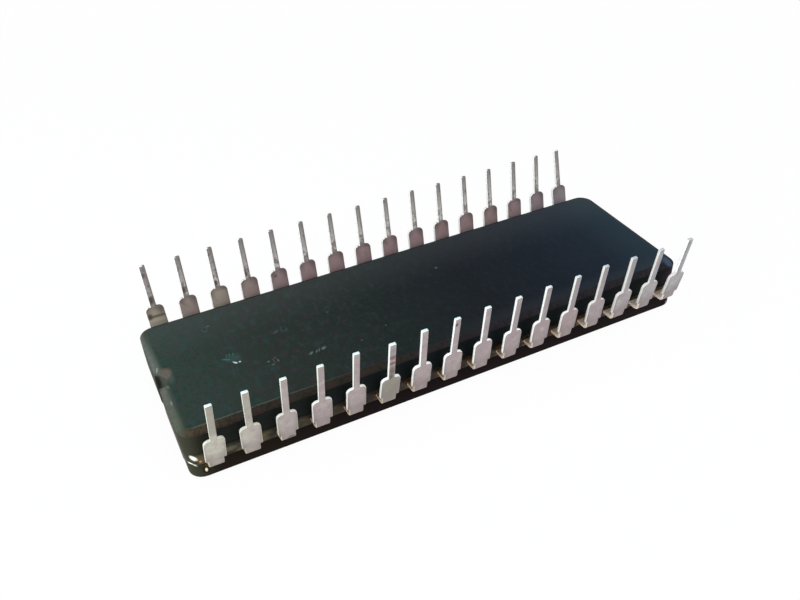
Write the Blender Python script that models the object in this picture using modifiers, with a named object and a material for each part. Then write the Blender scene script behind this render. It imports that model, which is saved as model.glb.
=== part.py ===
# A windowed ceramic memory chip in a 32-lead dual in-line package, lying on its lid with its leads up.
# The origin is the middle of the lid's outer face. X runs along the body, with the index notch at -X.

import math

import bmesh
import bpy
from mathutils import Vector

# Driving sizes, in metres

LEADS_PER_ROW = 16
LEAD_PITCH = 0.00254
END_MARGIN = 0.00185
BODY_WIDTH = 0.01290
BODY_CORNER_RADIUS = 0.00110
NOTCH_RADIUS = 0.00075
CAP_THICKNESS = 0.00160
CAP_SHIFT = 0.00014
SEAL_THICKNESS = 0.00102
BASE_THICKNESS = 0.00191
RIM_SLOPE_WIDTH = 0.00053
RIM_SLOPE_DEPTH = 0.00030

DIE_LENGTH = 0.00640
DIE_WIDTH = 0.00480
DIE_THICKNESS = 0.00038
DIE_ATTACH_THICKNESS = 0.00004
DIE_ATTACH_BORDER = 0.00015
DIE_CAVITY_BORDER = 0.00120
DIE_CAVITY_DEPTH = 0.00048
DIE_CAVITY_CORNER_RADIUS = 0.00050

GLASS_SETBACK = 0.00002
GLASS_BEAD = 0.00008
BOND_LEDGE_WIDTH = 0.00090
CAP_RECESS_DEPTH = 0.00042

WINDOW_DIAMETER = 0.00711
WINDOW_THICKNESS = 0.00100
WINDOW_RECESS = 0.00008
WINDOW_FRIT_WIDTH = 0.00045
WINDOW_FRIT_DIP = 0.00010

LEAD_THICKNESS = 0.00025
LEAD_DEPTH_IN_SEAL = 0.00048
LEAD_BEND_RADIUS = 0.00038
LEAD_SPLAY = math.radians(9.0)
FOOT_LENGTH = 0.00071
NECK_WIDTH = 0.00105
BLADE_WIDTH = 0.00145
BLADE_STEP = 0.00044
BLADE_LENGTH = 0.00216
BLADE_CORNER_RADIUS = 0.00036
TIP_WIDTH = 0.00047
TIP_LENGTH = 0.00355

NECK_INNER_LENGTH = 0.00040
FINGER_TAPER_LENGTH = 0.00025
FINGER_ROOT_WIDTH = 0.00028
FINGER_END_WIDTH = 0.00022
FINGER_END_SETBACK = 0.00010
FINGER_PROUD = 0.00006
SIDE_FINGERS = 4

BOND_WIRE_DIAMETER = 0.00004
BOND_WIRE_DROP = 0.00030
BOND_FINGER_INSET = 0.00020
BOND_PAD_INSET = 0.00022
BOND_PAD_PITCH = 0.00050

CLEARANCE = 0.00001

# Leads that handling has bent: shift along X and outward at the blade's shoulder, then the same at the tip's end
BENT_LEADS = {
    1: (-0.00009, 0.00003, -0.00015, 0.00008),
    14: (0.00003, 0.00002, 0.00008, 0.00008),
    15: (-0.00005, 0.00003, -0.00006, 0.00005),
    16: (-0.00015, 0.00004, -0.00036, 0.00010),
    17: (0.00007, 0.00008, 0.00009, 0.00008),
    18: (-0.00004, 0.00006, -0.00016, 0.00012),
    19: (-0.00004, 0.00004, -0.00013, 0.00003),
    20: (-0.00004, -0.00005, -0.00007, -0.00011),
    21: (-0.00004, -0.00001, -0.00008, -0.00003),
    22: (-0.00005, -0.00001, -0.00011, 0.0),
    23: (-0.00005, -0.00001, -0.00011, 0.00001),
    24: (-0.00002, -0.00004, -0.00007, -0.00005),
    26: (0.0, 0.00009, -0.00005, 0.00007),
    27: (0.00002, 0.00019, -0.00002, 0.00026),
    32: (0.00010, 0.00003, 0.00018, 0.00006),
}

# Fineness of round shapes

CORNER_STEPS = 6
NOTCH_STEPS = 10
BLADE_CORNER_STEPS = 4
BEND_STEPS = 6
WINDOW_STEPS = 48
BEAD_STEPS = 2
BOND_WIRE_STEPS = 5
WELD_DISTANCE = 1e-7
SHARP_ANGLE = math.radians(30)

# Sizes that follow from the driving sizes

BODY_LENGTH = (LEADS_PER_ROW - 1) * LEAD_PITCH + 2 * END_MARGIN
SEAL_LOW = CAP_THICKNESS
SEAL_HIGH = SEAL_LOW + SEAL_THICKNESS
BODY_HEIGHT = SEAL_HIGH + BASE_THICKNESS
LEAD_LEVEL = SEAL_HIGH - LEAD_DEPTH_IN_SEAL
FINGER_FACE = LEAD_LEVEL - LEAD_THICKNESS / 2
LEDGE_LEVEL = FINGER_FACE + FINGER_PROUD
CAVITY_LENGTH = DIE_LENGTH + 2 * DIE_CAVITY_BORDER
CAVITY_WIDTH = DIE_WIDTH + 2 * DIE_CAVITY_BORDER
CAVITY_FLOOR = SEAL_HIGH + DIE_CAVITY_DEPTH
END_FINGERS = LEADS_PER_ROW // 2 - SIDE_FINGERS
SIDE_FINGER_PITCH = CAVITY_LENGTH / 2 / SIDE_FINGERS
END_FINGER_PITCH = CAVITY_WIDTH / 2 / END_FINGERS
ATTACH_HIGH = CAVITY_FLOOR - CLEARANCE
ATTACH_LOW = ATTACH_HIGH - DIE_ATTACH_THICKNESS
DIE_BACK = ATTACH_LOW - CLEARANCE
DIE_FACE = DIE_BACK - DIE_THICKNESS
LEDGE_LENGTH = CAVITY_LENGTH + 2 * BOND_LEDGE_WIDTH
LEDGE_WIDTH = CAVITY_WIDTH + 2 * BOND_LEDGE_WIDTH
LEDGE_CORNER_RADIUS = DIE_CAVITY_CORNER_RADIUS + BOND_LEDGE_WIDTH
WINDOW_HOLE_RADIUS = WINDOW_DIAMETER / 2 + WINDOW_FRIT_WIDTH
BEND_START = BODY_WIDTH / 2 + FOOT_LENGTH
BEND_ANGLE = math.pi / 2 - LEAD_SPLAY
BEND_LENGTH = LEAD_BEND_RADIUS * BEND_ANGLE
BLADE_START = BEND_LENGTH + BLADE_STEP
TIP_START = BLADE_START + BLADE_LENGTH
TIP_END = TIP_START + TIP_LENGTH
SHOULDER_RISE = TIP_START - BEND_LENGTH
NECK_END = FOOT_LENGTH + NECK_INNER_LENGTH
LEAD_NUMBERS = range(1, 2 * LEADS_PER_ROW + 1)


def start_scene():
    for item in list(bpy.data.objects):
        bpy.data.objects.remove(item)
    parts = bpy.data.collections.new("eprom_chip")
    cutters = bpy.data.collections.new("cutters")
    bpy.context.scene.collection.children.link(parts)
    bpy.context.scene.collection.children.link(cutters)
    return parts, cutters


def finish(name, colour, roughness, metallic, transmission=0.0):
    material = bpy.data.materials.new(name)
    material.use_nodes = True
    shader = material.node_tree.nodes["Principled BSDF"]
    shader.inputs["Base Color"].default_value = (*colour, 1.0)
    shader.inputs["Roughness"].default_value = roughness
    shader.inputs["Metallic"].default_value = metallic
    shader.inputs["Transmission Weight"].default_value = transmission
    material.diffuse_color = (*colour, 1.0)
    return material


def arc(centre, radius, start, end, steps):
    turns = [start + (end - start) * i / steps for i in range(steps + 1)]
    return [(centre[0] + radius * math.cos(a), centre[1] + radius * math.sin(a)) for a in turns]


def rounded_box_outline(length, width, radius):
    x = length / 2 - radius
    y = width / 2 - radius
    quarter = math.pi / 2
    corners = [(-x, -y), (x, -y), (x, y), (-x, y)]
    outline = []
    for i, corner in enumerate(corners):
        start = math.pi + i * quarter
        outline += arc(corner, radius, start, start + quarter, CORNER_STEPS)
    return outline


def notched_outline(setback):
    """The body's plan: a rounded box whose -X end has the half-round index notch."""
    length = BODY_LENGTH - 2 * setback
    width = BODY_WIDTH - 2 * setback
    outline = rounded_box_outline(length, width, BODY_CORNER_RADIUS - setback)
    quarter = math.pi / 2
    notch = arc((-length / 2, 0), NOTCH_RADIUS, quarter, -quarter, NOTCH_STEPS)
    return outline + notch


def flat_shape(name, outlines, low, high, collection, bead=0.0):
    """A plate between two heights with the given outlines, its edge rounded outward by the bead."""
    curve = bpy.data.curves.new(name, "CURVE")
    curve.dimensions = "2D"
    curve.fill_mode = "BOTH"
    curve.extrude = (high - low) / 2 - bead
    curve.bevel_depth = bead
    curve.bevel_resolution = BEAD_STEPS
    curve.render_resolution_u = 0
    for outline in outlines:
        spline = curve.splines.new("POLY")
        spline.points.add(len(outline) - 1)
        for point, (x, y) in zip(spline.points, outline):
            point.co = (x, y, 0, 1)
        spline.use_cyclic_u = True
    return curve_to_mesh(name, curve, (0, 0, (low + high) / 2), collection)


def curve_to_mesh(name, curve, place, collection):
    guide = bpy.data.objects.new(name + "_guide", curve)
    guide.location = place
    collection.objects.link(guide)
    bpy.context.view_layer.update()
    evaluated = guide.evaluated_get(bpy.context.evaluated_depsgraph_get())
    mesh = bpy.data.meshes.new_from_object(evaluated)
    mesh.name = name
    solid = bpy.data.objects.new(name, mesh)
    solid.matrix_world = guide.matrix_world
    collection.objects.link(solid)
    bpy.data.objects.remove(guide)
    edit = bmesh.new()
    edit.from_mesh(mesh)
    bmesh.ops.remove_doubles(edit, verts=edit.verts, dist=WELD_DISTANCE)
    bmesh.ops.recalc_face_normals(edit, faces=edit.faces)
    edit.to_mesh(mesh)
    edit.free()
    return solid


def slope_rim(solid, side):
    """Draws the face on the given side (1 up, -1 down) outward while it narrows, which leaves the sloped rim."""
    edit = bmesh.new()
    edit.from_mesh(solid.data)
    flat = [f for f in edit.faces if f.normal.z * side > math.cos(SHARP_ANGLE)]
    plate = bmesh.ops.dissolve_faces(edit, faces=flat)["region"]
    bmesh.ops.inset_region(edit, faces=plate, thickness=RIM_SLOPE_WIDTH, depth=0, use_even_offset=True)
    bmesh.ops.translate(edit, verts=plate[0].verts, vec=(0, 0, side * RIM_SLOPE_DEPTH))
    edit.to_mesh(solid.data)
    edit.free()


def cut(solid, cutter):
    cutter.hide_render = True
    cutter.display_type = "WIRE"
    modifier = solid.modifiers.new(cutter.name, "BOOLEAN")
    modifier.operation = "DIFFERENCE"
    modifier.solver = "EXACT"
    modifier.object = cutter


def join(solid, addition):
    addition.hide_render = True
    addition.display_type = "WIRE"
    modifier = solid.modifiers.new(addition.name, "BOOLEAN")
    modifier.operation = "UNION"
    modifier.solver = "EXACT"
    modifier.object = addition


def shade(solid, material):
    solid.data.materials.clear()
    solid.data.materials.append(material)
    solid.data.shade_smooth()
    solid.data.set_sharp_from_angle(angle=SHARP_ANGLE)


def ceramic_base(parts, cutters, material):
    outline = notched_outline(0)
    base = flat_shape("ceramic_base", [outline], SEAL_HIGH, BODY_HEIGHT - RIM_SLOPE_DEPTH, parts)
    slope_rim(base, 1)
    plan = rounded_box_outline(CAVITY_LENGTH, CAVITY_WIDTH, DIE_CAVITY_CORNER_RADIUS)
    cut(base, flat_shape("die_cavity", [plan], LEAD_LEVEL, CAVITY_FLOOR, cutters))
    shade(base, material)


def ceramic_cap(parts, cutters, material):
    """The lid, which was fired slightly out of line with the base, so that it lies a little towards +X."""
    outline = notched_outline(0)
    cap = flat_shape("ceramic_cap", [outline], RIM_SLOPE_DEPTH, CAP_THICKNESS, parts)
    slope_rim(cap, -1)
    plan = rounded_box_outline(LEDGE_LENGTH, LEDGE_WIDTH, LEDGE_CORNER_RADIUS)
    floor = CAP_THICKNESS - CAP_RECESS_DEPTH
    recess = flat_shape("cap_recess", [plan], floor, LEAD_LEVEL, cutters)
    hole = disc("window_hole", WINDOW_HOLE_RADIUS, -CAP_THICKNESS, LEAD_LEVEL, cutters)
    cut(cap, recess)
    cut(cap, hole)
    for piece in (cap, recess, hole):
        piece.location.x = CAP_SHIFT
    shade(cap, material)


def make_solid(name, edit, height, collection):
    """Makes an object of the edited mesh, with its own middle at the given height."""
    mesh = bpy.data.meshes.new(name)
    edit.to_mesh(mesh)
    edit.free()
    solid = bpy.data.objects.new(name, mesh)
    solid.location.z = height
    collection.objects.link(solid)
    return solid


def disc(name, radius, low, high, collection):
    edit = bmesh.new()
    bmesh.ops.create_cone(
        edit, cap_ends=True, segments=WINDOW_STEPS, radius1=radius, radius2=radius, depth=high - low
    )
    return make_solid(name, edit, (low + high) / 2, collection)


def box(name, length, width, low, high, collection):
    edit = bmesh.new()
    bmesh.ops.create_cube(edit, size=1)
    bmesh.ops.scale(edit, verts=edit.verts, vec=(length, width, high - low))
    return make_solid(name, edit, (low + high) / 2, collection)


def quartz_window(parts, material):
    top = WINDOW_RECESS + WINDOW_THICKNESS
    window = disc("quartz_window", WINDOW_DIAMETER / 2, WINDOW_RECESS, top, parts)
    window.location.x = CAP_SHIFT
    shade(window, material)


def window_frit(parts, material):
    """The ring of fired glass between the disc and its hole, turned from a section whose two faces dip."""
    inner = WINDOW_DIAMETER / 2 + CLEARANCE
    outer = WINDOW_HOLE_RADIUS - CLEARANCE
    middle = (inner + outer) / 2
    low = WINDOW_RECESS
    high = CAP_THICKNESS - CAP_RECESS_DEPTH - CLEARANCE
    section = [
        (outer, high),
        (outer, low),
        (middle, low + WINDOW_FRIT_DIP),
        (inner, low + WINDOW_FRIT_DIP / 2),
        (inner, high - WINDOW_FRIT_DIP / 2),
        (middle, high - WINDOW_FRIT_DIP),
    ]
    edit = bmesh.new()
    points = [edit.verts.new((x, 0, z)) for x, z in section]
    for i, point in enumerate(points):
        edit.edges.new((point, points[(i + 1) % len(points)]))
    ring = make_solid("window_frit", edit, 0, parts)
    ring.location.x = CAP_SHIFT
    turn = ring.modifiers.new("turn", "SCREW")
    turn.angle = 2 * math.pi
    turn.steps = WINDOW_STEPS
    turn.render_steps = WINDOW_STEPS
    turn.use_merge_vertices = True
    turn.merge_threshold = WELD_DISTANCE
    shade(ring, material)


def row_side(number):
    """Leads count along the +Y row from the notch, then back along the -Y row."""
    return 1 if number <= LEADS_PER_ROW else -1


def lead_x(number):
    place = number if number <= LEADS_PER_ROW else 2 * LEADS_PER_ROW + 1 - number
    return (place - (LEADS_PER_ROW + 1) / 2) * LEAD_PITCH


def lead_rank(number):
    """How many leads of its row lie between a lead and the middle of the body."""
    return int(abs(lead_x(number)) / LEAD_PITCH)


def end_finger_row(rank):
    return LEADS_PER_ROW // 2 - 1 - rank


def finger_end(number):
    """The middle leads of a row end beside the die cavity's long wall, the outer ones at its end wall."""
    side = row_side(number)
    along = math.copysign(1, lead_x(number))
    rank = lead_rank(number)
    if rank < SIDE_FINGERS:
        place = (rank + 0.5) * SIDE_FINGER_PITCH
        return (along * place, side * (CAVITY_WIDTH / 2 + FINGER_END_SETBACK))
    place = (end_finger_row(rank) + 0.5) * END_FINGER_PITCH
    return (along * (CAVITY_LENGTH / 2 + FINGER_END_SETBACK), side * place)


def in_lead_frame(number, point):
    """From the body's X and Y to a lead's own: across the lead, and out from where its bend starts."""
    side = row_side(number)
    return (side * (point[0] - lead_x(number)), side * point[1] - BEND_START)


def strip_edges(route, widths):
    """Both edges of a strip of changing width along a route, mitred at its corners."""
    points = [Vector(p) for p in route]
    runs = [(b - a).normalized() for a, b in zip(points, points[1:])]
    left = []
    right = []
    for i, (point, width) in enumerate(zip(points, widths)):
        before = runs[max(i - 1, 0)]
        after = runs[min(i, len(runs) - 1)]
        across = (before + after).orthogonal().normalized()
        reach = width / 2 / across.dot(before.orthogonal())
        left.append(tuple(point + across * reach))
        right.append(tuple(point - across * reach))
    return left, right


def finger_edges(number, grow):
    """The two edges of a lead inside the body, from its bend to the finger's end, in the lead's own frame."""
    knee = Vector((0, -NECK_END - FINGER_TAPER_LENGTH))
    end = Vector(in_lead_frame(number, finger_end(number)))
    end += (end - knee).normalized() * grow
    route = [(0, 0), (0, -NECK_END), knee, end]
    widths = [NECK_WIDTH, NECK_WIDTH, FINGER_ROOT_WIDTH, FINGER_END_WIDTH]
    return strip_edges(route, [width + 2 * grow for width in widths])


def lead_outline(number):
    """The flat blank: finger, neck, square step to the blade, rounded shoulders and narrow tip."""
    left, right = finger_edges(number, 0)
    neck = NECK_WIDTH / 2
    blade = BLADE_WIDTH / 2
    tip = TIP_WIDTH / 2
    centre = (blade - BLADE_CORNER_RADIUS, TIP_START - BLADE_CORNER_RADIUS)
    shoulder = arc(centre, BLADE_CORNER_RADIUS, 0, math.pi / 2, BLADE_CORNER_STEPS)
    edge = [(neck, BLADE_START), (blade, BLADE_START), *shoulder, (tip, TIP_START), (tip, TIP_END)]
    mirrored = [(-x, y) for x, y in reversed(edge)]
    return [*reversed(left), *edge, *mirrored, *right]


def groove_outline(number):
    """The room that a lead takes up in the glass, in the body's frame."""
    left, right = finger_edges(number, CLEARANCE)
    side = row_side(number)
    outline = [*reversed(left), *right]
    return [(lead_x(number) + side * x, side * (y + BEND_START)) for x, y in outline]


def fold(point, bends):
    """Takes a point of the flat blank to its place on the bent lead: round the bend, then up the splayed blade."""
    across, along, height = point
    radius = LEAD_BEND_RADIUS - height
    if along <= 0:
        return (across, along, height)
    turn = min(along / BEND_LENGTH, 1) * BEND_ANGLE
    straight = max(along - BEND_LENGTH, 0)
    blade_share = min(straight / SHOULDER_RISE, 1)
    tip_share = max(along - TIP_START, 0) / TIP_LENGTH
    blade_side, blade_out, tip_side, tip_out = bends
    sideways = blade_side * blade_share + (tip_side - blade_side) * tip_share
    outward = blade_out * blade_share + (tip_out - blade_out) * tip_share
    out = radius * math.sin(turn) + straight * math.cos(turn) + outward * math.sin(turn)
    up = LEAD_BEND_RADIUS - radius * math.cos(turn) + straight * math.sin(turn) - outward * math.cos(turn)
    return (across + sideways, out, up)


def lead(number, parts, material):
    name = f"lead_{number:02d}"
    half = LEAD_THICKNESS / 2
    solid = flat_shape(name, [lead_outline(number)], -half, half, parts)
    edit = bmesh.new()
    edit.from_mesh(solid.data)
    bend_lines = [BEND_LENGTH * i / BEND_STEPS for i in range(BEND_STEPS + 1)]
    for along in [*bend_lines, TIP_START]:
        bmesh.ops.bisect_plane(
            edit,
            geom=[*edit.verts, *edit.edges, *edit.faces],
            dist=WELD_DISTANCE,
            plane_co=(0, along, 0),
            plane_no=(0, 1, 0),
        )
    side = row_side(number)
    blade_side, blade_out, tip_side, tip_out = BENT_LEADS.get(number, (0, 0, 0, 0))
    for vert in edit.verts:
        vert.co = fold(vert.co, (side * blade_side, blade_out, side * tip_side, tip_out))
    bmesh.ops.recalc_face_normals(edit, faces=edit.faces)
    edit.to_mesh(solid.data)
    edit.free()
    solid.location = (lead_x(number), side * BEND_START, LEAD_LEVEL)
    solid.rotation_euler.z = 0 if side > 0 else math.pi
    shade(solid, material)


def seal_glass(parts, cutters, material):
    outer = [(x + CAP_SHIFT / 2, y) for x, y in notched_outline(GLASS_SETBACK)]
    opening = rounded_box_outline(CAVITY_LENGTH, CAVITY_WIDTH, DIE_CAVITY_CORNER_RADIUS)
    low = SEAL_LOW + CLEARANCE
    high = SEAL_HIGH - CLEARANCE
    glass = flat_shape("seal_glass", [outer, opening], low, high, parts, GLASS_BEAD)
    plan = rounded_box_outline(LEDGE_LENGTH, LEDGE_WIDTH, LEDGE_CORNER_RADIUS)
    cut(glass, flat_shape("bond_ledge", [plan], 0, LEDGE_LEVEL, cutters))
    grooves = [groove_outline(number) for number in LEAD_NUMBERS]
    reach = LEAD_THICKNESS / 2 + CLEARANCE
    cut(glass, flat_shape("lead_grooves", grooves, LEAD_LEVEL - reach, LEAD_LEVEL + reach, cutters))
    shade(glass, material)


def die_pad(number):
    side = row_side(number)
    along = math.copysign(1, lead_x(number))
    rank = lead_rank(number)
    if rank < SIDE_FINGERS:
        place = (rank + 0.5) * BOND_PAD_PITCH
        return (along * place, side * (DIE_WIDTH / 2 - BOND_PAD_INSET))
    place = (end_finger_row(rank) + 0.5) * BOND_PAD_PITCH
    return (along * (DIE_LENGTH / 2 - BOND_PAD_INSET), side * place)


def bond_wire_route(number):
    """A low arch from just under the finger's end, down into the cap's recess and up to the die's face."""
    knee_y = row_side(number) * (BEND_START - NECK_END - FINGER_TAPER_LENGTH)
    end = Vector(finger_end(number))
    start = end + (Vector((lead_x(number), knee_y)) - end).normalized() * BOND_FINGER_INSET
    pad = Vector(die_pad(number))
    low = FINGER_FACE - CLEARANCE - BOND_WIRE_DIAMETER / 2
    high = DIE_FACE + BOND_WIRE_DIAMETER / 2
    route = []
    for i in range(BOND_WIRE_STEPS + 1):
        share = i / BOND_WIRE_STEPS
        sag = 4 * share * (1 - share) * BOND_WIRE_DROP
        x, y = start.lerp(pad, share)
        route.append((x, y, low + (high - low) * share - sag))
    return route


def bond_wires(cutters):
    curve = bpy.data.curves.new("bond_wires", "CURVE")
    curve.dimensions = "3D"
    curve.bevel_depth = BOND_WIRE_DIAMETER / 2
    curve.bevel_resolution = 0
    curve.use_fill_caps = True
    curve.render_resolution_u = 0
    for number in LEAD_NUMBERS:
        route = bond_wire_route(number)
        spline = curve.splines.new("POLY")
        spline.points.add(len(route) - 1)
        for point, place in zip(spline.points, route):
            point.co = (*place, 1)
    return curve_to_mesh("bond_wires", curve, (0, 0, 0), cutters)


def die(parts, cutters, material):
    """The chip of silicon, face down towards the window, with its bond wires fused to its pads."""
    chip = box("die", DIE_LENGTH, DIE_WIDTH, DIE_FACE, DIE_BACK, parts)
    join(chip, bond_wires(cutters))
    shade(chip, material)


def die_attach(parts, material):
    length = DIE_LENGTH + 2 * DIE_ATTACH_BORDER
    width = DIE_WIDTH + 2 * DIE_ATTACH_BORDER
    layer = box("die_attach", length, width, ATTACH_LOW, ATTACH_HIGH, parts)
    shade(layer, material)


def build():
    parts, cutters = start_scene()
    ceramic = finish("dark_alumina", (0.035, 0.045, 0.043), 0.7, 0.0)
    glass = finish("sealing_glass", (0.10, 0.085, 0.05), 0.25, 0.0)
    quartz = finish("quartz", (0.95, 0.96, 0.97), 0.03, 0.0, 1.0)
    frit = finish("window_glass", (0.30, 0.31, 0.30), 0.3, 0.0)
    silicon = finish("silicon", (0.24, 0.22, 0.30), 0.2, 0.6)
    bond = finish("silver_glass", (0.55, 0.53, 0.48), 0.5, 0.5)
    tin = finish("tinned_strip", (0.60, 0.57, 0.53), 0.35, 0.9)
    ceramic_base(parts, cutters, ceramic)
    ceramic_cap(parts, cutters, ceramic)
    seal_glass(parts, cutters, glass)
    quartz_window(parts, quartz)
    window_frit(parts, frit)
    die_attach(parts, bond)
    die(parts, cutters, silicon)
    for number in LEAD_NUMBERS:
        lead(number, parts, tin)


build()
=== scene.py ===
"""The looks of a windowed ceramic memory chip that lies on its lid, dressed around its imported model."""

import math

import bpy
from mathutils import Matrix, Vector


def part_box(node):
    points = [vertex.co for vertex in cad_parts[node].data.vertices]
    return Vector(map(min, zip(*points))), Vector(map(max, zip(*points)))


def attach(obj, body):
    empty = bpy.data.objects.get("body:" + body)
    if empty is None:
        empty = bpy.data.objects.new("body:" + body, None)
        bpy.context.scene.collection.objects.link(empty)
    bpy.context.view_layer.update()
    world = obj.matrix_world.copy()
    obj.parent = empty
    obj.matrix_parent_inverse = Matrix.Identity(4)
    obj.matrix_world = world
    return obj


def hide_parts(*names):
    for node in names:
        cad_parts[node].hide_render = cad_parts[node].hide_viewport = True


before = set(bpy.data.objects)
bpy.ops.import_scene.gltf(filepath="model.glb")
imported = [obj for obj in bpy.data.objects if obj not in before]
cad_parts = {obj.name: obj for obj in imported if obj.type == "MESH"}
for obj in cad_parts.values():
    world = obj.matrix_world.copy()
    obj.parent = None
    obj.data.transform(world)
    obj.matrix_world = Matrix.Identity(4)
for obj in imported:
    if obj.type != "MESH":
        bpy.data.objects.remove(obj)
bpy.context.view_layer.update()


# The viewpoint: a camera close to the chip's front left corner, looking down on the upturned body.
# Its place, angles and lens were worked out from the lead pitch and the body's edges in the photograph.
MM = 0.001
CAMERA_PLACE = (-23.473 * MM, -46.611 * MM, 43.931 * MM)
CAMERA_TILT = 52.541
CAMERA_ROLL = 1.744
CAMERA_HEADING = -26.472
CAMERA_LENS = 37.105
CAMERA_NEAREST = 1 * MM
bpy.ops.object.camera_add(
    location=CAMERA_PLACE,
    rotation=(math.radians(CAMERA_TILT), math.radians(CAMERA_ROLL), math.radians(CAMERA_HEADING)),
)
camera = bpy.context.object
camera.data.lens = CAMERA_LENS
camera.data.clip_start = CAMERA_NEAREST
bpy.context.scene.camera = camera
bpy.context.scene.view_settings.view_transform = "Standard"


# The table: a sheet of white paper under the chip, which the camera sees as plain white.
# A small part of what it sees is the lit paper, so that the chip's soft shadow shows there.
class Field:
    """A value that changes over a surface. Sums and products of it add their Math nodes."""

    def __init__(self, finish, socket):
        self.finish = finish
        self.socket = socket

    def __add__(self, other):
        return self.finish.math("ADD", self, other)

    def __radd__(self, other):
        return self.finish.math("ADD", other, self)

    def __sub__(self, other):
        return self.finish.math("SUBTRACT", self, other)

    def __rsub__(self, other):
        return self.finish.math("SUBTRACT", other, self)

    def __mul__(self, other):
        return self.finish.math("MULTIPLY", self, other)

    def __rmul__(self, other):
        return self.finish.math("MULTIPLY", other, self)

    def __truediv__(self, other):
        return self.finish.math("DIVIDE", self, other)

    def soft(self, start, end):
        """0 at the start value and before it, 1 at the end value, and a smooth rise between them."""
        settings = {"interpolation_type": "SMOOTHSTEP"}
        sockets = {"Value": self, "From Min": start, "From Max": end}
        return self.finish.make("MapRange", settings, sockets)[0]

    def max(self, other):
        return self.finish.math("MAXIMUM", self, other)

    def distance_from(self, other):
        return self.finish.math("ABSOLUTE", self - other, 0)


class Finish:
    """A material or a world, and the nodes that it is made of."""

    def __init__(self, owner):
        owner.use_nodes = True
        self.owner = owner
        self.tree = owner.node_tree

    def make(self, kind, settings, sockets):
        """Adds a node of a kind, sets it, then fills or links its sockets. Gives all its outputs."""
        node = self.tree.nodes.new("ShaderNode" + kind)
        for name, value in settings.items():
            if name == "stops":
                self.set_stops(node.color_ramp, value)
            else:
                setattr(node, name, value)
        for name, value in sockets.items():
            self.fill(node.inputs[name], value)
        return [Field(self, socket) for socket in node.outputs]

    def set_stops(self, ramp, stops):
        while len(ramp.elements) < len(stops):
            ramp.elements.new(1)
        for element, (position, colour) in zip(ramp.elements, stops):
            element.position = position
            element.color = colour

    def fill(self, socket, value):
        if isinstance(value, Field):
            self.tree.links.new(value.socket, socket)
        else:
            socket.default_value = value

    def math(self, operation, first, second):
        return self.make("Math", {"operation": operation}, {0: first, 1: second})[0]

    def blend(self, mask, first, second):
        """The first colour where the mask is 0 and the second where it is 1."""
        # A Mix node takes colours in its sockets 6 and 7 and gives one from its output 2
        return self.make("Mix", {"data_type": "RGBA"}, {"Factor": mask, 6: first, 7: second})[2]

    def place(self):
        """Where a point of the surface lies on the chip, in metres."""
        return self.make("TexCoord", {}, {})[3]

    def facing(self):
        """The direction in which a point of the surface faces, as three fields."""
        return self.parts(self.make("NewGeometry", {}, {})[1])

    def rays(self):
        """1 on rays from the camera, off a glossy face and through glass, as three fields."""
        path = self.make("LightPath", {}, {})
        return path[0], path[3], path[6]

    def parts(self, vector):
        return self.make("SeparateXYZ", {}, {0: vector})

    def noise(self, place, size, detail=2.0, rough=0.5):
        sockets = {"Vector": place, "Scale": 1 / size, "Detail": detail, "Roughness": rough}
        return self.make("TexNoise", {}, sockets)[0]

    def stretched(self, place, along_x, along_y, along_z):
        """The same place with each direction pulled in, which draws a noise out along the smaller ones."""
        return self.make("Mapping", {}, {"Vector": place, "Scale": (along_x, along_y, along_z)})[0]

    def distance(self, place, centre, reach, turn, lift):
        """0 at a centre and 1 on an ellipsoid round it, in mm, with its first axis turned and lifted."""
        sockets = {
            "Vector": place,
            "Location": [value * MM for value in centre],
            "Rotation": (0, math.radians(-lift), math.radians(turn)),
            "Scale": [value * MM for value in reach],
        }
        local = self.make("Mapping", {"vector_type": "TEXTURE"}, sockets)[0]
        return self.make("VectorMath", {"operation": "LENGTH"}, {0: local})[1]

    def patch(self, place, centre, reach, turn=0.0, lift=0.0, edge=0.6):
        """1 at a centre and 0 past an ellipsoid round it, soft at its edge."""
        return self.distance(place, centre, reach, turn, lift).soft(1, 1 - edge)

    def marked(self, place, colour, marks):
        """A colour with marks laid over it, each with its centre, reach, turn, lift and own colour."""
        for centre, reach, turn, lift, other in marks:
            colour = self.blend(self.patch(place, centre, reach, turn, lift), colour, other)
        return colour

    def surface(self, **sockets):
        """Fills the sockets of the material's Principled shader."""
        shader = self.tree.nodes["Principled BSDF"]
        for name, value in sockets.items():
            self.fill(shader.inputs[name.replace("_", " ")], value)


def new_finish(name):
    return Finish(bpy.data.materials.new(name))


def linear(level):
    """One part of a screen colour, 0 to 255, as an amount of light."""
    share = level / 255
    return ((share + 0.055) / 1.055) ** 2.4 if level > 10 else share / 12.92


def rgb(red, green, blue):
    """A colour as a screen shows it, each part 0 to 255."""
    return linear(red), linear(green), linear(blue), 1


PAPER_REACH = 500 * MM
PAPER_SIDES = 64
PAPER_DROP = 0.02 * MM
PAPER_COLOUR = rgb(250, 250, 249)
PAPER_OWN_WHITE = 0.95
PAPER_SHADOW_REACH = (60 * MM, 160 * MM)
bpy.ops.mesh.primitive_circle_add(
    vertices=PAPER_SIDES,
    radius=PAPER_REACH,
    fill_type="NGON",
    location=(0, 0, -PAPER_DROP),
)
paper = bpy.context.object
paper.name = "paper"
bpy.ops.object.transform_apply(location=True)
paper_finish = new_finish("white_paper")
from_camera, off_gloss, through_glass = paper_finish.rays()
seen = from_camera.max(off_gloss).max(through_glass)
from_chip = paper_finish.make("VectorMath", {"operation": "LENGTH"}, {0: paper_finish.place()})[1]
far = from_chip.soft(*PAPER_SHADOW_REACH)
own_white = seen * (PAPER_OWN_WHITE + far * (1 - PAPER_OWN_WHITE))
paper_finish.surface(Base_Color=PAPER_COLOUR, Roughness=0.9)
glow = paper_finish.make("Emission", {}, {"Color": (1, 1, 1, 1), "Strength": 1.0})[0]
lit = Field(paper_finish, paper_finish.tree.nodes["Principled BSDF"].outputs[0])
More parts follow.
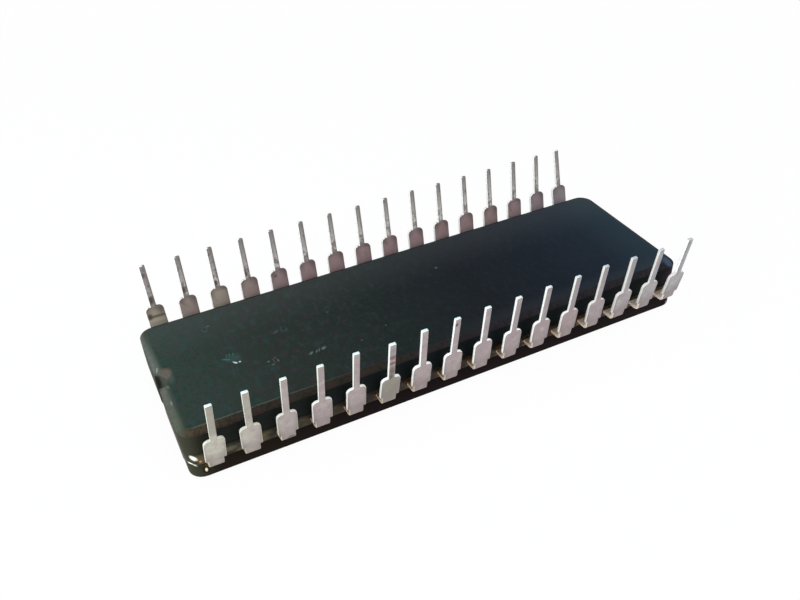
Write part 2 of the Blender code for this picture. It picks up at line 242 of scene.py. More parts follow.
paper_look = paper_finish.make("MixShader", {}, {0: own_white, 1: lit, 2: glow})[0]
paper_finish.fill(paper_finish.tree.nodes["Material Output"].inputs["Surface"], paper_look)
paper.data.materials.append(paper_finish.owner)


# The light: a window low on the left, whose light the left edges of the leads and the left rim catch,
# a softer lamp in front and an evenly lit room. The camera sees the room as plain white.
ROOM_STRENGTH = 0.85
ROOM_TOP = rgb(196, 206, 214)
ROOM_LOW = rgb(205, 200, 196)
ROOM_FADE = (-0.2, 0.9)
ROOM_WHITE_IN_GLOSS = 0.25
world = bpy.data.worlds.new("room")
bpy.context.scene.world = world
room = Finish(world)
from_camera, off_gloss, through_glass = room.rays()
room_seen = from_camera.max(through_glass).max(off_gloss * ROOM_WHITE_IN_GLOSS)
towards = room.make("SeparateXYZ", {}, {0: room.make("TexCoord", {}, {})[0]})
room_light = room.blend(towards[2].soft(*ROOM_FADE), ROOM_LOW, ROOM_TOP)
dim = room.make("Background", {}, {"Color": room_light, "Strength": ROOM_STRENGTH})[0]
white = room.make("Background", {}, {"Color": (1, 1, 1, 1), "Strength": 1.0})[0]
both = room.make("MixShader", {}, {0: room_seen, 1: dim, 2: white})[0]
room.fill(room.tree.nodes["World Output"].inputs["Surface"], both)


def softbox(name, place, width, height, power, colour):
    """A lamp with a flat front, turned towards the middle of the chip."""
    bpy.ops.object.light_add(type="AREA", location=place)
    lamp = bpy.context.object
    lamp.name = name
    lamp.data.shape = "RECTANGLE"
    lamp.data.size = width
    lamp.data.size_y = height
    lamp.data.energy = power
    lamp.data.color = colour[:3]
    across = math.atan2(place[1], place[0]) + math.pi / 2
    down = math.atan2(math.hypot(place[0], place[1]), place[2])
    lamp.rotation_euler = (down, 0, across)


softbox(
    name="window",
    place=(-240 * MM, -30 * MM, 90 * MM),
    width=170 * MM,
    height=150 * MM,
    power=0.5,
    colour=rgb(246, 255, 252),
)
softbox(
    name="fill",
    place=(40 * MM, -250 * MM, 220 * MM),
    width=200 * MM,
    height=200 * MM,
    power=0.55,
    colour=rgb(255, 252, 250),
)


# The two ceramic halves: alumina powder, coloured dark, pressed in a die and fired, then ground flat where
# they meet. Their rims slope, every edge is slightly rounded, and handling has left pale scuffs on top.
SEAM_GAP = 0.0002 * MM


def select_only(piece):
    bpy.ops.object.select_all(action="DESELECT")
    piece.select_set(True)
    bpy.context.view_layer.objects.active = piece


def finer_copy(name, node, flatness):
    """A copy of a CAD node's mesh with its seams closed and its flat faces made whole."""
    piece = bpy.data.objects.new(name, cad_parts[node].data.copy())
    bpy.context.collection.objects.link(piece)
    piece.data.materials.clear()
    select_only(piece)
    bpy.ops.object.mode_set(mode="EDIT")
    bpy.ops.mesh.select_all(action="SELECT")
    bpy.ops.mesh.remove_doubles(threshold=SEAM_GAP)
    bpy.ops.mesh.dissolve_limited(angle_limit=math.radians(flatness))
    bpy.ops.mesh.normals_make_consistent(inside=False)
    bpy.ops.object.mode_set(mode="OBJECT")
    return piece


def round_edges(piece, width, steps, angle):
    select_only(piece)
    bevel = piece.modifiers.new("round_edges", "BEVEL")
    bevel.width = width
    bevel.segments = steps
    bevel.limit_method = "ANGLE"
    bevel.angle_limit = math.radians(angle)
    bpy.ops.object.modifier_apply(modifier=bevel.name)


def show(piece, finish, node, smooth_angle):
    """Gives a finished piece its material, and its place in the model in a CAD node's stead."""
    select_only(piece)
    bpy.ops.object.shade_smooth_by_angle(angle=math.radians(smooth_angle))
    piece.data.materials.append(finish.owner)
    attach(piece, "root")
    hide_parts(node)


CERAMIC_EDGE = 0.07 * MM
RIM_WIDTH = 0.53 * MM
RIM_FOOT = (4.1 * MM, 4.2 * MM)
FACE_DEPTH = (0.06 * MM, 0.02 * MM)
GRAIN_SIZE = 0.09 * MM
BLOTCH_SIZE = 0.3 * MM
TINGE_SIZE = 0.55 * MM
FLECK_SIZE = 0.9 * MM
CLOUD_SIZE = 3.5 * MM
BREAK_SIZE = 0.13 * MM
base_low, base_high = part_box("ceramic_base")
cap_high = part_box("ceramic_cap")[1]
ceramic = new_finish("pressed_ceramic")
spot = ceramic.place()
x, y, z = ceramic.parts(spot)
facing_x, facing_y, facing_z = ceramic.facing()
grain = ceramic.noise(spot, GRAIN_SIZE, detail=3.0, rough=0.6)
blotch = ceramic.noise(spot, BLOTCH_SIZE, rough=0.6)
tinge = ceramic.noise(ceramic.stretched(spot, 1.3, 0.8, 1), TINGE_SIZE, rough=0.6)
fleck = ceramic.noise(ceramic.stretched(spot, 1.4, 0.8, 1), FLECK_SIZE, detail=4.0, rough=0.7)
cloud = ceramic.noise(spot, CLOUD_SIZE, detail=3.0)

# The upturned face: dark in the middle, green towards the notch and blue at the far end by a painted
# reflection, and lighter at the back and along the right part of the front edge by a painted sheen
upper_face = (base_high.z - z).soft(*FACE_DEPTH)
FACE_AND_REFLECTION_STOPS = [
    (0.0, rgb(49, 62, 56)),
    (0.2, rgb(43, 46, 43)),
    (0.4, rgb(31, 36, 36)),
    (0.6, rgb(24, 29, 34)),
    (0.75, rgb(24, 30, 39)),
    (0.88, rgb(27, 36, 47)),
    (1.0, rgb(38, 54, 63)),
]
along_body = (x + base_high.x) / (2 * base_high.x)
face_and_reflection = ceramic.make("ValToRGB", {"stops": FACE_AND_REFLECTION_STOPS}, {"Fac": along_body})[0]
left_part = x.soft(4 * MM, -16 * MM)
greenish = ceramic.blend(blotch.soft(0.52, 0.38) * (0.06 + left_part * 0.48), face_and_reflection, rgb(26, 55, 42))
purplish = ceramic.blend(tinge.soft(0.52, 0.68) * (0.1 + left_part * 0.28), greenish, rgb(66, 48, 62))
teal = ceramic.blend(fleck.soft(0.5, 0.66) * (0.04 + left_part * 0.3), purplish, rgb(44, 70, 70))
# A painted sheen along the front edge of the face, on its right part
front_sheen = y.soft(-4.4 * MM, -5.7 * MM) * x.soft(-4 * MM, 6 * MM) * 0.06
sheen = ceramic.blend((y.soft(0.5 * MM, 7 * MM) * 0.14).max(front_sheen), teal, rgb(106, 110, 110))

# The walls and the sloping rims: olive at the left end and nearly black along the front, with brown rims.
# The left rim, which faces the window, is painted lighter, and a painted highlight runs along the face's
# front edge
from_left_end = x.soft(-17 * MM, -4 * MM)
base_wall = ceramic.blend(from_left_end, rgb(26, 30, 27), rgb(20, 25, 26))
cap_wall = ceramic.blend(from_left_end, rgb(24, 18, 12), rgb(18, 9, 11))
wall_colour = ceramic.blend(z.soft(cap_high.z + 0.1 * MM, cap_high.z), base_wall, cap_wall)
wall_colour = ceramic.blend(x.soft(-18.5 * MM, -20.9 * MM), wall_colour, rgb(52, 52, 40))
lid_colour = ceramic.blend(tinge.soft(0.4, 0.65), rgb(45, 44, 43), rgb(54, 50, 49))
wall_colour = ceramic.blend(z.soft(*FACE_DEPTH), wall_colour, lid_colour)
body_colour = ceramic.blend(upper_face, wall_colour, sheen)
slope = facing_z.soft(0.97, 0.92) * facing_z.soft(0.55, 0.75) * z.soft(*RIM_FOOT)
front_slope = slope * (0 - facing_y).soft(0.15, 0.45)
corner_brown = ceramic.blend(x.soft(-20.5 * MM, -16 * MM), rgb(70, 61, 46), rgb(47, 42, 35))
front_brown = ceramic.blend(x.soft(-10 * MM, 4 * MM), corner_brown, rgb(37, 36, 41))
front_brown = ceramic.blend(z.soft(4.35 * MM, 4.2 * MM) * 0.5, front_brown, rgb(24, 22, 22))
front_brown = ceramic.blend(tinge.soft(0.5, 0.62) * 0.5, front_brown, rgb(56, 36, 38))
front_brown = ceramic.blend(blotch.soft(0.5, 0.38) * 0.5, front_brown, rgb(26, 27, 26))
body_colour = ceramic.blend(front_slope, body_colour, front_brown)
# Painted light on the left rim, which faces the window
narrowing = y.soft(0, 6 * MM) * 0.25 * MM
left_rim = (x + narrowing).soft(-20.05 * MM, -20.7 * MM) * facing_z.soft(0.5, 0.75) * z.soft(*RIM_FOOT)
left_rim_light = ceramic.blend(y.soft(1 * MM, -4 * MM), rgb(90, 98, 93), rgb(82, 87, 77))
left_rim_light = ceramic.blend(y.soft(-5 * MM, -6.2 * MM), left_rim_light, rgb(66, 68, 56))
body_colour = ceramic.blend(left_rim * (0.8 + blotch.soft(0.6, 0.4) * 0.2), body_colour, left_rim_light)
# A painted highlight along the front edge of the face, broken up, on its left part
from_rim = y.distance_from(base_low.y + RIM_WIDTH)
face_edge_highlight = from_rim.soft(0.16 * MM, 0.04 * MM) * facing_z.soft(0.9, 0.95)
face_edge_highlight = face_edge_highlight * x.soft(-4 * MM, -19 * MM) * blotch.soft(0.3, 0.5)
body_colour = ceramic.blend(face_edge_highlight * 0.8, body_colour, rgb(84, 88, 82))

# The notch, with painted light on its walls that face the window and painted shade in its depth, and the
# marks round it and at the corners: marks of handling, and painted highlights on the rim and the lid's
# right corner
notch = ceramic.patch(spot, (-20.9, 0, 4.2), (1.7, 1.4, 1.7), edge=0.3) * facing_z.soft(0.9, 0.6)
notch_wall_light = ceramic.blend(z.soft(4.25 * MM, 3.9 * MM), rgb(55, 65, 59), rgb(67, 69, 60))
body_colour = ceramic.blend(notch * (0 - facing_x).soft(-0.2, 0.3), body_colour, notch_wall_light)
NOTCH_MARKS_AND_LIGHT = [
    # Painted shade in the depth of the notch
    ((-20.8, 0.6, 3.6), (0.36, 0.6, 0.95), 0, 0, rgb(30, 33, 26)),
    ((-19.95, -0.4, 4.4), (0.4, 1.0, 0.4), 0, 0, rgb(58, 71, 66)),
    # Painted light on the upper wall of the notch
    ((-20.15, 0.45, 4.35), (0.75, 0.7, 0.4), 0, 0, rgb(86, 81, 74)),
    # A painted highlight on the rim
    ((-20.36, -1.09, 4.48), (0.14, 0.4, 0.2), 10, 0, rgb(84, 106, 97)),
    ((-20.5, -2.85, 4.45), (0.1, 0.3, 0.2), 0, 0, rgb(108, 114, 112)),
    ((-20.69, -1.42, 4.42), (0.3, 0.45, 0.3), 0, 0, rgb(96, 86, 78)),
    ((-20.6, 1.1, 4.42), (0.06, 0.34, 0.2), -20, 0, rgb(150, 153, 146)),
    ((20.1, -5.9, 4.45), (0.5, 0.75, 0.5), 0, 0, rgb(62, 76, 98)),
    ((20.0, -6.5, 3.4), (1.0, 0.4, 0.9), 0, 0, rgb(42, 24, 32)),
    # A painted highlight on the lid's right corner
    ((20.28, -6.35, 0.47), (0.08, 0.25, 0.3), 0, 0, rgb(156, 122, 146)),
]
# The front left corner: brown and golden stains on the glass and cap, with painted glints over them
CORNER_MARKS_AND_GLINTS = [
    ((-20.5, -6.33, 1.95), (0.6, 0.45, 0.72), 0, 0, rgb(26, 22, 12)),
    ((-20.09, -6.52, 2.17), (0.22, 0.3, 0.3), 0, 0, rgb(96, 66, 42)),
    ((-19.95, -6.5, 1.9), (0.12, 0.3, 0.14), 0, 0, rgb(176, 142, 86)),
    ((-19.8, -6.55, 1.72), (0.3, 0.3, 0.2), 0, 0, rgb(92, 64, 40)),
    ((-19.53, -6.45, 1.3), (0.3, 0.3, 0.25), 0, 0, rgb(80, 56, 36)),
    ((-19.69, -6.45, 0.93), (0.34, 0.3, 0.45), 0, 0, rgb(24, 20, 12)),
    ((-20.52, -6.3, 1.98), (0.42, 0.3, 0.08), -30, -38, rgb(70, 66, 38)),
    # Painted glints on the glass at the corner
    ((-20.4, -6.42, 2.26), (0.48, 0.3, 0.28), -33, -36, rgb(255, 253, 240)),
    ((-20.58, -6.25, 1.62), (0.56, 0.3, 0.2), -28, -34, rgb(253, 250, 230)),
    # A painted glint on the cap
    ((-19.69, -6.45, 0.93), (0.12, 0.3, 0.24), 0, 0, rgb(240, 230, 194)),
]
body_colour = ceramic.marked(spot, body_colour, NOTCH_MARKS_AND_LIGHT)
body_colour = ceramic.marked(spot, body_colour, CORNER_MARKS_AND_GLINTS)

# Scuffs on the upturned face: rings and bits that something hard left, each with its own place and shape
WHITE_MARK = rgb(200, 214, 212)
TEAL_MARK = rgb(66, 104, 104)
LILAC_MARK = rgb(98, 97, 106)
GREY_MARK = rgb(90, 98, 96)
RING_MIDDLE = 0.75
RING_SIDES = (0.35, 0.05)
BIT_EDGE = (1.1, 0.4)
SCUFFS = [
    ((-15.37, -0.93), (0.25, 0.1), -50, 1.0, False, WHITE_MARK),
    ((-15.03, -1.0), (0.11, 0.09), 0, 0.9, False, WHITE_MARK),
    ((-15.85, -0.32), (0.42, 0.12), -28, 0.8, False, TEAL_MARK),
    ((-15.72, 0.05), (0.19, 0.05), 73, 0.8, False, TEAL_MARK),
    ((-15.5, 0.08), (0.19, 0.05), 73, 0.9, False, TEAL_MARK),
    ((-15.24, 0.05), (0.2, 0.05), 73, 0.7, False, TEAL_MARK),
    ((-15.35, -0.4), (0.7, 0.6), 0, 0.25, False, TEAL_MARK),
    ((-13.2, -2.0), (0.12, 0.11), 0, 0.9, False, GREY_MARK),
    ((-12.98, -2.45), (0.15, 0.11), 0, 0.8, False, GREY_MARK),
    ((-12.7, -2.05), (0.2, 0.34), 0, 0.8, True, GREY_MARK),
    ((-12.52, -2.2), (0.08, 0.17), 0, 0.9, False, LILAC_MARK),
    ((-10.12, -2.6), (0.26, 0.13), 40, 1.0, False, GREY_MARK),
    ((-9.7, -2.6), (0.24, 0.07), 60, 0.9, False, LILAC_MARK),
    ((-9.48, -2.55), (0.24, 0.08), 65, 0.8, False, LILAC_MARK),
    ((-9.1, -2.5), (0.26, 0.17), 30, 1.0, False, LILAC_MARK),
    ((-10.95, 1.0), (0.28, 0.4), 0, 0.4, True, TEAL_MARK),
    ((-11.6, 0.95), (0.35, 0.15), 30, 0.35, False, GREY_MARK),
    ((-16.3, 3.85), (0.26, 0.4), 0, 0.45, True, TEAL_MARK),
    ((-15.95, 4.1), (0.13, 0.1), 0, 0.9, False, GREY_MARK),
    ((-7.24, 1.3), (0.12, 0.1), 0, 0.5, False, LILAC_MARK),
    ((-6.27, -3.04), (0.08, 0.08), 0, 0.9, False, GREY_MARK),
    ((-3.95, -2.31), (0.08, 0.08), 0, 0.8, False, GREY_MARK),
    ((2.96, 2.47), (0.14, 0.14), 0, 0.9, False, GREY_MARK),
]
broken = ceramic.noise(spot, BREAK_SIZE, rough=0.6)
dusty = ceramic.blend(grain.soft(0.66, 0.8) * upper_face * 0.3, body_colour, rgb(92, 108, 110))
for (scuff_x, scuff_y), (length, width), turn, strength, is_ring, colour in SCUFFS:
    away = ceramic.distance(spot, (scuff_x, scuff_y, base_high.z / MM), (length, width, 1), turn, 0)
    if is_ring:
        mark = away.distance_from(RING_MIDDLE).soft(*RING_SIDES) * broken.soft(0.46, 0.6)
    else:
        mark = away.soft(*BIT_EDGE) * broken.soft(0.25, 0.5)
    dusty = ceramic.blend(mark * upper_face * strength, dusty, colour)
ceramic.surface(
    Base_Color=dusty,
    Roughness=0.55 + cloud * 0.1,
    Specular_IOR_Level=0.04,
    Normal=ceramic.make("Bump", {}, {"Strength": 0.25, "Distance": 0.01 * MM, "Height": grain})[0],
)
for node, name in (("ceramic_base", "pressed_base"), ("ceramic_cap", "pressed_cap")):
    half = finer_copy(name, node, flatness=1.0)
    round_edges(half, CERAMIC_EDGE, steps=3, angle=20)
    show(half, ceramic, node, smooth_angle=40)


# The seal: powdered lead glass, melted between the halves and round the leads, which flowed out into a low
# bead along the joint. It is opaque, brown and olive, and redder where it wets the foot of a lead.
LEAD_PITCH = 2.54 * MM
SWIRL_SIZE = 1.6 * MM
SPECK_SIZE = 0.12 * MM
glass = new_finish("fired_glass")
spot = glass.place()
x, y, z = glass.parts(spot)
swirl = glass.noise(spot, SWIRL_SIZE, detail=3.0, rough=0.6)
specks = glass.noise(spot, SPECK_SIZE, rough=0.6)
olive = glass.blend(x.soft(-17.5 * MM, -8 * MM), rgb(82, 76, 52), rgb(44, 33, 23))
olive = glass.blend(x.soft(0, 12 * MM), olive, rgb(32, 21, 20))
streaked = glass.blend(swirl.soft(0.42, 0.62) * 0.75, olive, rgb(27, 21, 16))
along_side = glass.math("ABSOLUTE", y, 0).soft(6.1 * MM, 6.35 * MM)
towards_right = 0.4 + x.soft(-12 * MM, 4 * MM) * 0.6
at_foot = glass.math("PINGPONG", x / LEAD_PITCH, 0.5).soft(0.18, 0.38) * along_side * towards_right
reddened = glass.blend(at_foot * swirl.soft(0.6, 0.4) * 0.85, streaked, rgb(104, 66, 36))
golden = glass.blend(at_foot * specks.soft(0.52, 0.66) * 0.7, reddened, rgb(150, 112, 62))
shaded = glass.blend(z.soft(2.3 * MM, 2.68 * MM) * 0.85, golden, rgb(24, 22, 18))
left_end = glass.blend(x.soft(-20.1 * MM, -20.6 * MM), shaded, rgb(40, 38, 28))
# A painted shadow low on the bead near the left end of the front, and a painted lighter band above it
BEAD_SHADOW_AND_LIGHT = [
    ((-18.0, -6.5, 1.7), (0.8, 0.4, 0.22), 0, 0, rgb(30, 30, 24)),
    ((-17.9, -6.5, 2.12), (0.8, 0.4, 0.28), 0, 0, rgb(82, 78, 60)),
]
shadowed = glass.marked(spot, left_end, BEAD_SHADOW_AND_LIGHT)
marked_glass = glass.marked(spot, shadowed, CORNER_MARKS_AND_GLINTS)
glass.surface(
    Base_Color=marked_glass,
    Roughness=0.34 + swirl * 0.15,
    Specular_IOR_Level=0.12,
    Normal=glass.make("Bump", {}, {"Strength": 0.3, "Distance": 0.03 * MM, "Height": swirl})[0],
)
bead = finer_copy("fired_glass", "seal_glass", flatness=0.5)
show(bead, glass, "seal_glass", smooth_angle=50)


# The leads: stamped from nickel-iron strip, bent at the press and dipped in tin. The tin has gone dull,
# yellowish or pink, and brown on the inner faces, and the sheared edges carry painted highlights.
LEAD_EDGE = 0.06 * MM
TIP_ROOT = (5.0 * MM, 5.4 * MM)
TIP_STRIP = (0.17 * MM, 0.08 * MM)
MOTTLE_SIZE = 0.6 * MM
DRAWN_LINE_SIZE = 0.07 * MM
DIRT_SIZE = 0.4 * MM
tin = new_finish("dull_tin")
spot = tin.place()
x, y, z = tin.parts(spot)
facing_x, facing_y, facing_z = tin.facing()
back_row = y.soft(-1 * MM, 1 * MM)
outward = facing_y * tin.math("SIGN", y, 0)
inner_face = outward.soft(-0.35, -0.75)
flat_on = tin.math("ABSOLUTE", facing_y, 0)
from_middle = (0.5 - tin.math("PINGPONG", x / LEAD_PITCH, 0.5)) * LEAD_PITCH
on_tip = z.soft(*TIP_ROOT)
towards_notch = x.soft(18 * MM, -4 * MM)
mottle = tin.noise(spot, MOTTLE_SIZE, detail=3.0, rough=0.55)
drawn = tin.noise(tin.stretched(spot, 1, 1, 0.12), DRAWN_LINE_SIZE, detail=3.0, rough=0.6)
dirt = tin.noise(spot, DIRT_SIZE, detail=4.0, rough=0.65)

# The front row's outer faces: yellowish at the notch, pink in the middle, grey at the other end, darker
# lower down by painted shade
OUTER_STOPS = [
    (0.05, rgb(192, 190, 176)),
    (0.2, rgb(170, 157, 158)),
    (0.5, rgb(170, 157, 158)),
    (0.72, rgb(163, 148, 150)),
    (0.95, rgb(169, 167, 170)),
]
along_row = (x + base_high.x) / (2 * base_high.x)
face = tin.make("ValToRGB", {"stops": OUTER_STOPS}, {"Fac": along_row})[0]
clouded = tin.blend(mottle.soft(0.45, 0.65) * 0.35, face, rgb(160, 142, 146))
lighter = tin.blend(mottle.soft(0.45, 0.3) * 0.35, clouded, rgb(196, 194, 184))
# Painted shade on the lower part of the blades, near the body
low_blade_shade = tin.blend(z.soft(4.2 * MM, 2.2 * MM) * 0.4, lighter, rgb(132, 120, 118))
tip_strip = from_middle.soft(*TIP_STRIP) * on_tip * x.soft(-4 * MM, 8 * MM)
striped = tin.blend(tip_strip * 0.5, low_blade_shade, rgb(144, 152, 156))
left_tip = z.soft(5.2 * MM, 6 * MM) * x.soft(-14 * MM, -18 * MM)
outer_colour = tin.blend(left_tip * 0.8, striped, rgb(160, 157, 146))

# The inner faces, which the back row shows: brown blades and paler tips with dark roots and ends
blade = tin.blend(x.soft(-14 * MM, -6 * MM), rgb(146, 131, 125), rgb(143, 120, 122))
blade = tin.blend(x.soft(12 * MM, 19 * MM), blade, rgb(134, 124, 130))
tip = tin.blend(x.soft(-14 * MM, 2 * MM), rgb(234, 231, 228), rgb(255, 253, 251))
blade_or_tip = tin.blend(on_tip, blade, tip)
streaks = drawn.soft(0.46, 0.6) * on_tip * (0.4 - z.soft(6.6 * MM, 7.4 * MM) * 0.3)
streaky = tin.blend(streaks, blade_or_tip, rgb(124, 120, 118))
root = z.soft(4.7 * MM, 5.3 * MM) * z.soft(6.6 * MM, 5.7 * MM) * 0.13
stain_strength = 0.2 + back_row * z.soft(4.9 * MM, 5.2 * MM) * 0.5
stain = (dirt + root * back_row).soft(0.55, 0.66) * stain_strength
tip_end = z.soft(8.0 * MM, 8.4 * MM) * back_row * 0.18
inner_colour = tin.blend(tip_end, streaky, rgb(92, 88, 84))
stained = tin.blend(stain, tin.blend(inner_face, outer_colour, inner_colour), rgb(92, 78, 74))

# Stains of dirt, flux and glass that single leads carry
STAINS = [
    ((-6.35, -7.8, 3.8), (1.4, 1.2, 2.3), 0, 0, rgb(144, 140, 128)),
    ((-6.35, -8.1, 5.9), (0.5, 0.6, 0.9), 0, 0, rgb(108, 101, 90)),
    ((-6.35, -8.4, 7.2), (0.5, 0.6, 0.36), 0, 0, rgb(134, 102, 104)),
    ((-6.35, -8.3, 6.6), (0.5, 0.6, 0.26), 0, 0, rgb(122, 98, 96)),
    ((-6.35, -8.5, 7.9), (0.5, 0.6, 0.3), 0, 0, rgb(140, 148, 148)),
    ((-6.42, -7.95, 5.2), (0.4, 0.6, 0.45), 0, 0, rgb(92, 84, 70)),
    ((-13.8, -7.6, 2.3), (0.42, 0.6, 0.3), 0, 0, rgb(96, 90, 84)),
    ((-1.35, -8.5, 8.0), (0.14, 0.4, 0.22), 0, 0, rgb(88, 86, 86)),
    ((-19.05, 7.8, 4.2), (1.4, 0.8, 1.2), 0, 0, rgb(148, 140, 126)),
    ((-19.05, 7.9, 4.2), (1.4, 0.6, 0.17), 0, 0, rgb(96, 88, 68)),
    ((-19.6, 7.9, 4.25), (0.3, 0.6, 0.4), 0, 0, rgb(70, 62, 50)),
    ((-19.05, 7.9, 3.87), (1.4, 0.6, 0.14), 0, 0, rgb(158, 150, 136)),
    ((-19.2, 8.1, 5.6), (0.25, 0.6, 0.5), 0, 0, rgb(64, 54, 50)),
    ((-19.35, 8.3, 7.75), (0.3, 0.6, 0.3), 0, 0, rgb(74, 70, 66)),
    ((-16.6, 8.1, 5.7), (0.2, 0.6, 0.45), 0, 0, rgb(70, 60, 56)),
    ((-13.97, 7.8, 4.2), (1.2, 0.8, 1.2), 0, 0, rgb(150, 140, 128)),
    ((-14.05, 8.1, 5.5), (0.16, 0.6, 0.4), 0, 0, rgb(72, 58, 56)),
    ((-11.55, 8.1, 5.6), (0.16, 0.6, 0.5), 0, 0, rgb(78, 64, 62)),
    ((-9.2, 7.9, 4.6), (0.2, 0.6, 0.2), 0, 0, rgb(96, 80, 80)),
]
tinned = tin.marked(spot, stained, STAINS)

# The sheared edges: painted highlights where they face the window and all round the front row, painted
# shade on the back row's other edges, and a darker line just inside the front row's rounded edges
left_edge = (0 - facing_x).soft(0.3 - 0.1 * back_row, 0.75 - 0.3 * back_row)
round_shoulder = (0 - facing_x).soft(0.02, 0.2) * facing_z.soft(0.3, 0.6) * back_row
left_edge = left_edge.max(round_shoulder)
edge_on = flat_on.soft(0.93, 0.6).max(left_edge * back_row)
# A darker line just inside the rounded edges of the front row
inner_edge_line = flat_on.soft(0.982, 0.955) * flat_on.soft(0.8, 0.9) * (1 - back_row)
rolled = tin.blend(inner_edge_line * 0.45, tinned, rgb(128, 114, 112))
# Painted light on the back row's edges that face the window, painted shade on the others
back_row_edge_light_and_shade = tin.blend(left_edge, rgb(104, 94, 90), rgb(236, 234, 232))
# Painted highlights on all the front row's edges
front_row_edge_highlights = tin.blend(x.soft(-19 * MM, -2 * MM), rgb(206, 203, 192), rgb(250, 252, 250))
last_tip = x.soft(17.9 * MM, 18.4 * MM) * on_tip
front_row_edge_highlights = tin.blend(x.soft(3 * MM, 12 * MM) * (1 - last_tip), front_row_edge_highlights, rgb(220, 217, 212))
foot_edge_highlights = tin.blend(towards_notch, rgb(232, 212, 198), rgb(196, 180, 160))
front_row_edge_highlights = tin.blend(z.soft(3.2 * MM, 2.7 * MM), front_row_edge_highlights, foot_edge_highlights)
edged = tin.blend(edge_on, rolled, tin.blend(back_row, front_row_edge_highlights, back_row_edge_light_and_shade))
# A painted shade line along the back row's edges that do not face the window
outline = flat_on.soft(0.985, 0.94) * flat_on.soft(0.35, 0.6) * back_row * (1 - left_edge)
outlined = tin.blend(outline * 0.85, edged, rgb(78, 66, 62))

# The tops of the feet, with painted light on them and brown with glass near the body, and the tips' ends,
# with a painted reflection on the front row and a painted highlight on the left half of the back row
foot_top = facing_z.soft(0.3, 0.7) * z.soft(3.6 * MM, 3.2 * MM)
# Painted light on the tops of the feet
foot_top_light = tin.blend(towards_notch, rgb(255, 234, 218), rgb(172, 136, 88))
near_glass = tin.math("ABSOLUTE", y, 0).soft(7.2 * MM, 6.6 * MM)
browned = near_glass * (0.8 - x.soft(0, 14 * MM) * 0.4)
footed = tin.blend(foot_top, outlined, tin.blend(browned, foot_top_light, rgb(96, 56, 34)))
tip_top = facing_z.soft(0.4, 0.8) * z.soft(7.6 * MM, 7.9 * MM)
# A painted reflection on the front row's tip ends
front_tip_reflection = tin.blend(x.soft(4 * MM, 12 * MM), rgb(228, 248, 246), rgb(188, 200, 204))
across_lead = tin.math("FRACT", x / LEAD_PITCH, 0) - 0.5
# A painted highlight on the left half of the back row's tip ends
back_tip_highlight = tin.blend(across_lead.soft(-0.01, -0.05), rgb(116, 111, 107), rgb(238, 237, 236))
ended = tin.blend(tip_top, footed, tin.blend(back_row, front_tip_reflection, back_tip_highlight))
tin.surface(
    Base_Color=ended,
    Metallic=0.9 * (1 - inner_face.max(foot_top).max(edge_on)),
    Roughness=0.36 + mottle * 0.1 + drawn * 0.06,
    Normal=tin.make("Bump", {}, {"Strength": 0.12, "Distance": 0.01 * MM, "Height": drawn})[0],
)
lead_nodes = sorted(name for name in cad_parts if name.startswith("lead_"))
for node in lead_nodes:
    strip = finer_copy("tinned_" + node, node, flatness=1.0)
    round_edges(strip, LEAD_EDGE, steps=2, angle=40)
    show(strip, tin, node, smooth_angle=40)


# The window: a polished disc of fused quartz that lets ultraviolet light in to erase the chip. A ring of
# grey sealing glass holds it in the lid's round hole, a little back from the lid's face. In this pose it
# faces the table.
DISC_EDGE = 0.05 * MM
HAZE_SIZE = 0.8 * MM
BUBBLE_SIZE = 0.07 * MM
quartz = new_finish("polished_quartz")
spot = quartz.place()
haze = quartz.noise(spot, HAZE_SIZE, detail=3.0)
quartz.surface(
    Base_Color=(0.97, 0.98, 0.99, 1),
    Roughness=haze.soft(0.4, 0.8) * 0.06 + 0.01,
    Transmission_Weight=1.0,
    IOR=1.46,
)
disc = finer_copy("quartz_disc", "quartz_window", flatness=1.0)
round_edges(disc, DISC_EDGE, steps=3, angle=40)
show(disc, quartz, "quartz_window", smooth_angle=40)

ring_glass = new_finish("window_ring_glass")
spot = ring_glass.place()
bubbles = ring_glass.noise(spot, BUBBLE_SIZE)
ring_glass.surface(
    Base_Color=ring_glass.blend(bubbles.soft(0.55, 0.7), rgb(126, 127, 124), rgb(150, 151, 148)),
    Roughness=0.2 + bubbles * 0.1,
)
ring = finer_copy("window_ring", "window_frit", flatness=0.5)
show(ring, ring_glass, "window_frit", smooth_angle=50)


# The die: a thin slab of silicon with its circuit on the face behind the window. It is stuck down with
# silver-filled glass and wired to the lead fingers with fine aluminium wire.
DIE_THICKNESS = 0.38 * MM
PAD_PITCH = 0.5 * MM
PAD_INSET = 0.22 * MM
PAD_SIZE = 0.1 * MM
MEMORY_ROW_PITCH = 0.06 * MM
MEMORY_BLOCK_PITCH = 0.62 * MM
MEMORY_GAP = 0.24 * MM
MEMORY_REACH_X = 2.7 * MM
MEMORY_REACH_Y = 1.9 * MM
LOGIC_CELL_SIZE = 0.08 * MM
FILM_SIZE = 1.2 * MM
MEMORY_BORDER = 0.02 * MM
PAD_BORDER = 0.005 * MM
FACE_SKIN = 0.001 * MM
silicon = new_finish("silicon_circuit")
spot = silicon.place()
x, y, z = silicon.parts(spot)
from_centre_x = silicon.math("ABSOLUTE", x, 0)
from_centre_y = silicon.math("ABSOLUTE", y, 0)
die_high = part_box("die")[1]
die_face = die_high.z - DIE_THICKNESS
film = silicon.noise(silicon.stretched(spot, 1, 0.3, 1), FILM_SIZE)
rows = silicon.math("PINGPONG", y / MEMORY_ROW_PITCH, 0.5).soft(0.15, 0.35)
columns = silicon.math("PINGPONG", x / MEMORY_BLOCK_PITCH, 0.5).soft(0.03, 0.06)
cell_array = silicon.blend(film.soft(0.35, 0.65), rgb(120, 92, 132), rgb(92, 128, 112))
cell_array = silicon.blend(rows * 0.35, cell_array, rgb(168, 148, 160))
cell_array = silicon.blend(columns, rgb(196, 188, 172), cell_array)
cell_sockets = {"Vector": spot, "Scale": 1 / LOGIC_CELL_SIZE}
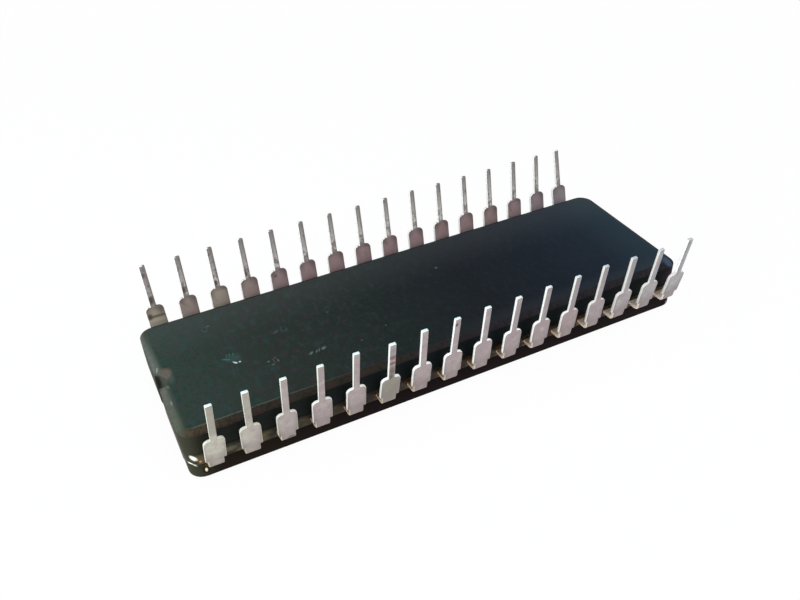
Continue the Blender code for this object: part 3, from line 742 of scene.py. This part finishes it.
logic_cells = silicon.make("TexVoronoi", {"distance": "CHEBYCHEV"}, cell_sockets)
logic = silicon.blend(logic_cells[0].soft(0.25, 0.5), rgb(112, 112, 96), rgb(168, 150, 116))
in_array = from_centre_x.soft(MEMORY_GAP, MEMORY_GAP + MEMORY_BORDER)
in_array = in_array * from_centre_x.soft(MEMORY_REACH_X + MEMORY_BORDER, MEMORY_REACH_X)
in_array = in_array * from_centre_y.soft(MEMORY_REACH_Y + MEMORY_BORDER, MEMORY_REACH_Y)
circuit = silicon.blend(in_array, logic, cell_array)
pad_lines = (
    (x, from_centre_y, die_high.y - PAD_INSET),
    (y, from_centre_x, die_high.x - PAD_INSET),
)
pads = 0
for along, inward, line in pad_lines:
    on_line = inward.distance_from(line).soft(PAD_SIZE / 2 + PAD_BORDER, PAD_SIZE / 2)
    from_pad = silicon.math("PINGPONG", along / PAD_PITCH, 0.5).distance_from(0.5) * PAD_PITCH
    pads = on_line * from_pad.soft(PAD_SIZE / 2 + PAD_BORDER, PAD_SIZE / 2) + pads
pads = silicon.math("MINIMUM", pads, 1)
on_face = z.distance_from(die_face).soft(2 * FACE_SKIN, FACE_SKIN)
wire = z.soft(die_face - FACE_SKIN, die_face - 3 * FACE_SKIN)
aluminium = rgb(222, 223, 226)
printed = silicon.blend(pads, circuit, aluminium)
sawn = silicon.blend(on_face, rgb(70, 70, 74), printed)
silicon.surface(
    Base_Color=silicon.blend(wire, sawn, aluminium),
    Metallic=0.55 + wire.max(pads * on_face) * 0.4,
    Roughness=0.22 + wire * 0.1,
)
chip = finer_copy("silicon_die", "die", flatness=0.5)
show(chip, silicon, "die", smooth_angle=40)

FLAKE_SIZE = 0.05 * MM
paste = new_finish("silver_paste")
spot = paste.place()
flakes = paste.noise(spot, FLAKE_SIZE)
paste.surface(
    Base_Color=paste.blend(flakes, rgb(180, 176, 168), rgb(210, 206, 198)),
    Roughness=0.5,
    Metallic=0.5,
)
layer = finer_copy("die_paste", "die_attach", flatness=0.5)
show(layer, paste, "die_attach", smooth_angle=40)
